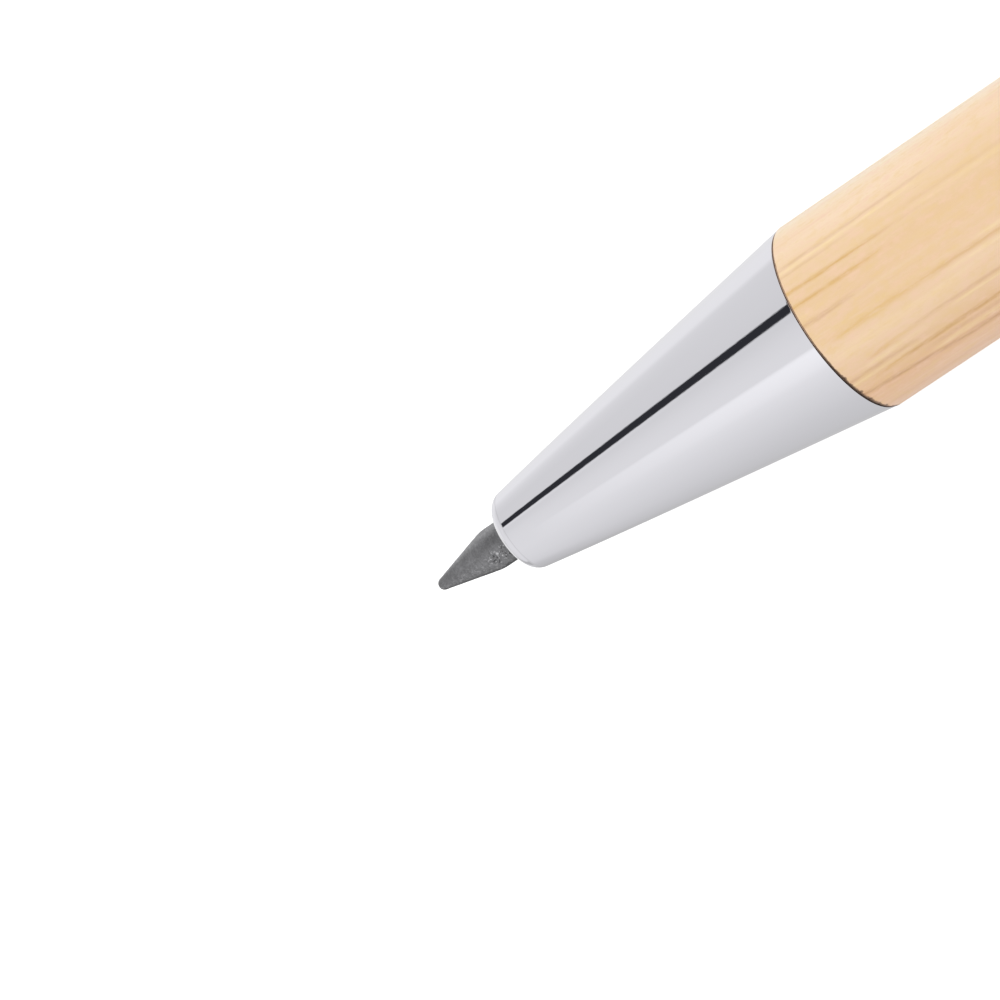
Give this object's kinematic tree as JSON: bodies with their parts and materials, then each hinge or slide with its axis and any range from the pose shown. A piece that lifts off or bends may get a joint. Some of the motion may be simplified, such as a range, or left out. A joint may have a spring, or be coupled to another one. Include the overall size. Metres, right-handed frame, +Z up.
{
  "type": "inkless pencil",
  "caption": "Inkless pencil with a bamboo body, a chromed nose cone, a graphite-alloy tip that a twist of the rear half draws in, and a spring pocket clip.",
  "frame": {"origin": "under the middle of the pencil's length, on the surface that the barrel lies on", "axes": "the pencil lies along X with its writing tip towards -X and its end cap towards +X; +Z up, through the clip; +Y to the side"},
  "size_m": [0.1402, 0.011, 0.0131],
  "materials": {
    "graphite": "matt graphite-grey metal, finely granular",
    "chrome": "bright chrome plate on turned brass",
    "spring_steel": "bright plated spring steel strip",
    "bamboo": "pale natural bamboo with fine lengthwise fibres, sanded matt",
    "brass": "turned brass",
    "steel": "drawn steel",
    "plastic": "moulded, off-white",
    "rubber": "soft dark rubber"
  },
  "bodies": {
    "lower_body": {"lower_barrel": "bamboo", "lower_tube": "brass", "front_bush": "brass", "guide_sleeve": "brass"},
    "washer": {"seam_washer": "rubber"},
    "nose": {"nose_cone": "chrome"},
    "cartridge": {"graphite_tip": "graphite", "tip_ferrule": "brass", "cartridge_tube": "steel", "cartridge_plug": "plastic", "slider": "plastic", "cross_pin": "steel"},
    "upper_body": {"centre_ring": "chrome", "upper_barrel": "bamboo", "upper_tube": "brass", "cam_sleeve": "plastic", "friction_ring": "rubber", "rear_bush": "brass", "clip_ring": "spring_steel", "end_cap": "chrome"},
    "clip": {"clip_arm": "spring_steel"}
  },
  "joints": [
    {"name": "twist", "type": "hinge", "parent": "lower_body", "child": "upper_body", "pos_m": [0.00734, 0, 0.00549], "axis": [1, 0, 0], "range_deg": [0, 180]},
    {"name": "tip_slide", "type": "slide", "parent": "lower_body", "child": "cartridge", "axis": [1, 0, 0], "range_m": [0, 0.0056]},
    {"name": "nose_turn", "type": "hinge", "parent": "washer", "child": "nose", "pos_m": [-0.04283, 0, 0.00549], "axis": [-1, 0, 0], "range_deg": [0, 4320]},
    {"name": "washer_slide", "type": "slide", "parent": "lower_body", "child": "washer", "axis": [-1, 0, 0], "range_m": [0, 0.006]},
    {"name": "clip_flex", "type": "hinge", "parent": "upper_body", "child": "clip", "pos_m": [0.06123, 0, 0.01044], "axis": [0, 1, 0], "range_deg": [0, 4], "stiffness_Nm_per_rad": 1.5, "springref_deg": -1.15}
  ],
  "couplings": [
    {"joint": "twist", "follows": "tip_slide", "rad_per_m": 561},
    {"joint": "nose_turn", "follows": "washer_slide", "rad_per_m": 12566}
  ]
}
